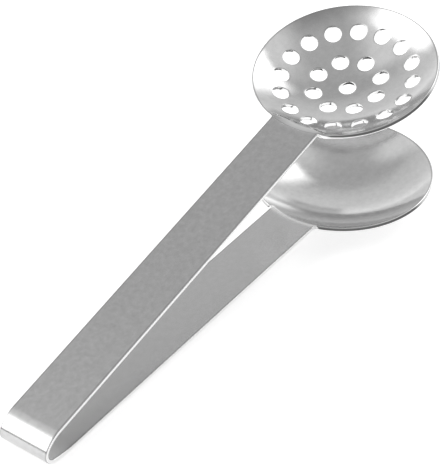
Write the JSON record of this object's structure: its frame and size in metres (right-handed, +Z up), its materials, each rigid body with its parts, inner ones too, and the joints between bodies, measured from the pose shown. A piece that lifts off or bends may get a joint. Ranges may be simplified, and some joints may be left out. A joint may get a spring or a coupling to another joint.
{
  "type": "tea bag squeezer",
  "caption": "Springy folded strip of stainless sheet with a pierced round bowl over a solid one, squeezed together to press a tea bag dry.",
  "frame": {"origin": "on the table, midway between the back of the fold and the foremost rim, in the mirror plane", "axes": "+X from the fold to the bowls, +Z up from the table, +Y to the left"},
  "size_m": [0.153, 0.0492, 0.0476],
  "materials": {
    "satin_steel": "satin, finely mottled by tumbling",
    "bowl_steel": "semi-bright, pressed and lightly polished"
  },
  "bodies": {
    "lower_half": {"lower_arm": "satin_steel", "solid_bowl": "bowl_steel", "spring_bend": "satin_steel"},
    "upper_half": {"upper_arm": "satin_steel", "perforated_bowl": "bowl_steel"}
  },
  "joints": [
    {"name": "squeeze", "type": "hinge", "parent": "lower_half", "child": "upper_half", "pos_m": [-0.07332, 0, 0.00362], "axis": [0, 1, 0], "range_deg": [0, 12.8], "stiffness_Nm_per_rad": 3, "springref_deg": -0.43, "deforming": ["spring_bend"]}
  ]
}
